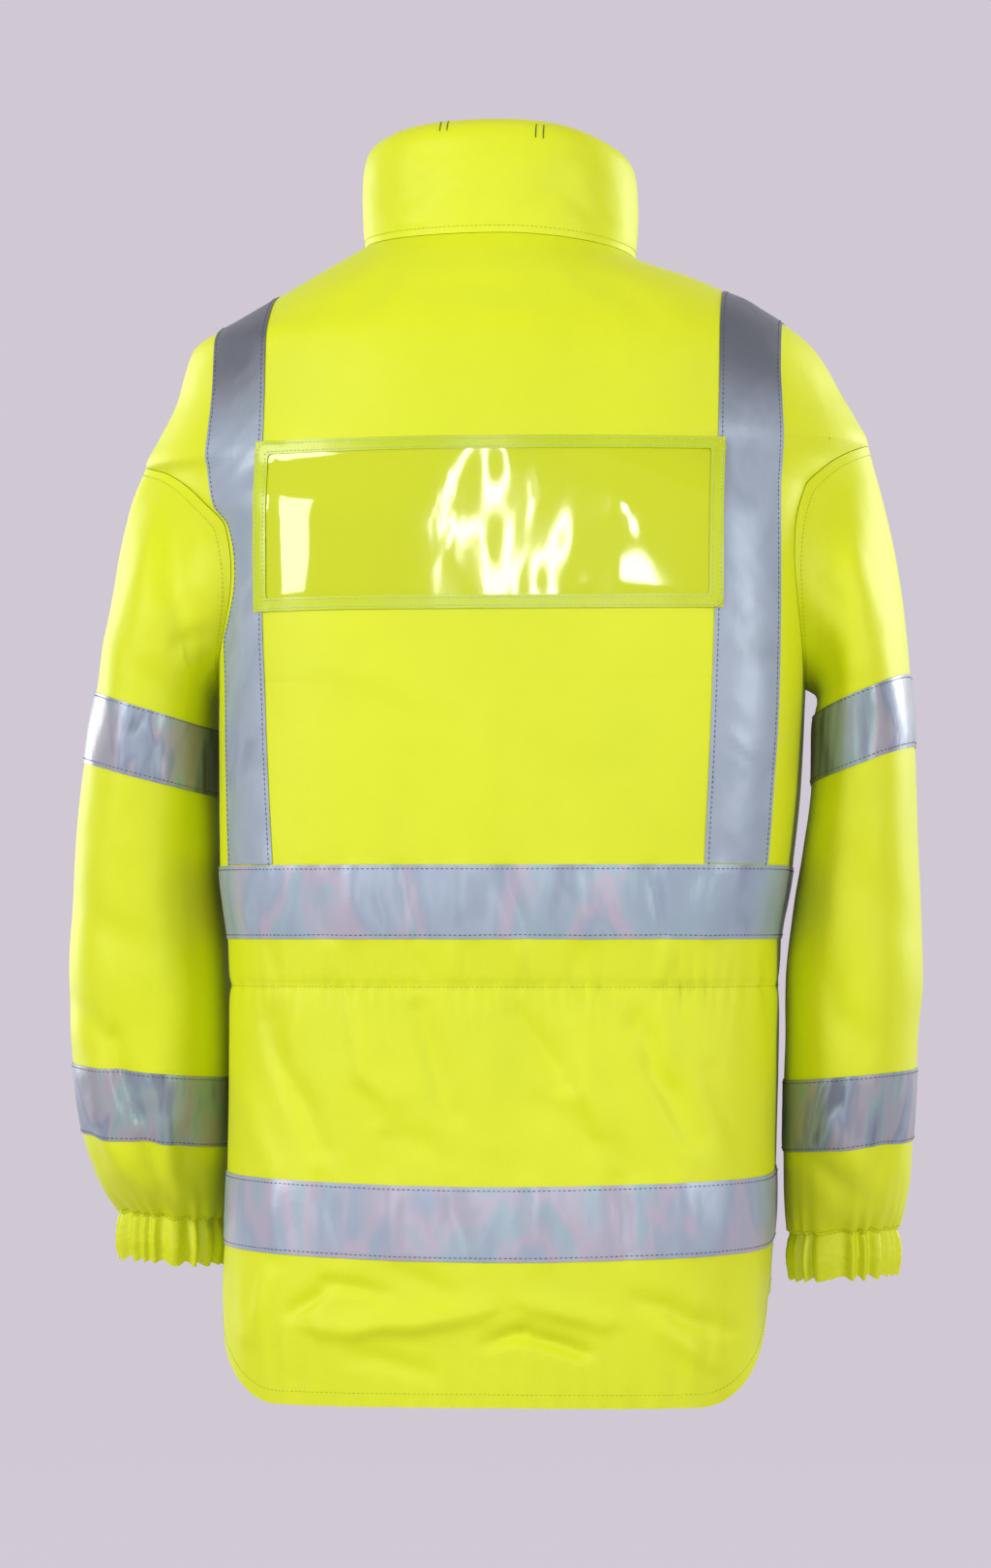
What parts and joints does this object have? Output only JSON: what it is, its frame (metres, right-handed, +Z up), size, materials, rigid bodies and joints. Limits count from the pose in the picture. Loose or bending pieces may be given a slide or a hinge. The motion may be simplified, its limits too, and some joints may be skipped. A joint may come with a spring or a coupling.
{
  "type": "hi-vis work jacket",
  "caption": "Hollow filled-out waterproof work jacket with stand collar, reflective tape bands and braces, clear back window, elastic cuffs and a dropped tail hem.",
  "frame": {"origin": "midway between the shoulders, level with the neck points, where the wearer carries the jacket", "axes": "+X to the wearer's left, +Y to the jacket's back, +Z up"},
  "size_m": [0.602, 0.2968, 0.883],
  "materials": {
    "hi_vis_cloth": "fluorescent yellow coated oxford weave, soft sheen",
    "reflective_tape": "silver-grey reflective tape, satin",
    "clear_window": "clear soft plastic over yellow cloth, glossy",
    "window_border": "welded and stitched plastic edge",
    "zip_tape": "woven zip tape",
    "zip_metal": "dull plated metal"
  },
  "bodies": {
    "jacket": {"back_panel": "hi_vis_cloth", "front_left": "hi_vis_cloth", "front_right": "hi_vis_cloth", "sleeve_left": "hi_vis_cloth", "sleeve_right": "hi_vis_cloth", "cuff_left": "hi_vis_cloth", "cuff_right": "hi_vis_cloth", "collar": "hi_vis_cloth", "brace_left": "reflective_tape", "brace_right": "reflective_tape", "waist_tape_back": "reflective_tape", "waist_tape_front_left": "reflective_tape", "waist_tape_front_right": "reflective_tape", "lower_tape_back": "reflective_tape", "lower_tape_front_left": "reflective_tape", "lower_tape_front_right": "reflective_tape", "sleeve_left_tape_upper": "reflective_tape", "sleeve_left_tape_lower": "reflective_tape", "sleeve_right_tape_upper": "reflective_tape", "sleeve_right_tape_lower": "reflective_tape", "window_sheet": "clear_window", "window_border": "window_border", "zip_tape_left": "zip_tape", "zip_tape_right": "zip_tape", "zip_chain": "zip_tape", "zip_slider": "zip_metal"},
    "pull_tab": {"zip_pull": "zip_metal"}
  },
  "joints": [
    {"name": "pull_swing", "type": "hinge", "parent": "jacket", "child": "pull_tab", "pos_m": [0, -0.11132, 0.0384], "axis": [1, 0, 0], "range_deg": [-150, 0]}
  ]
}
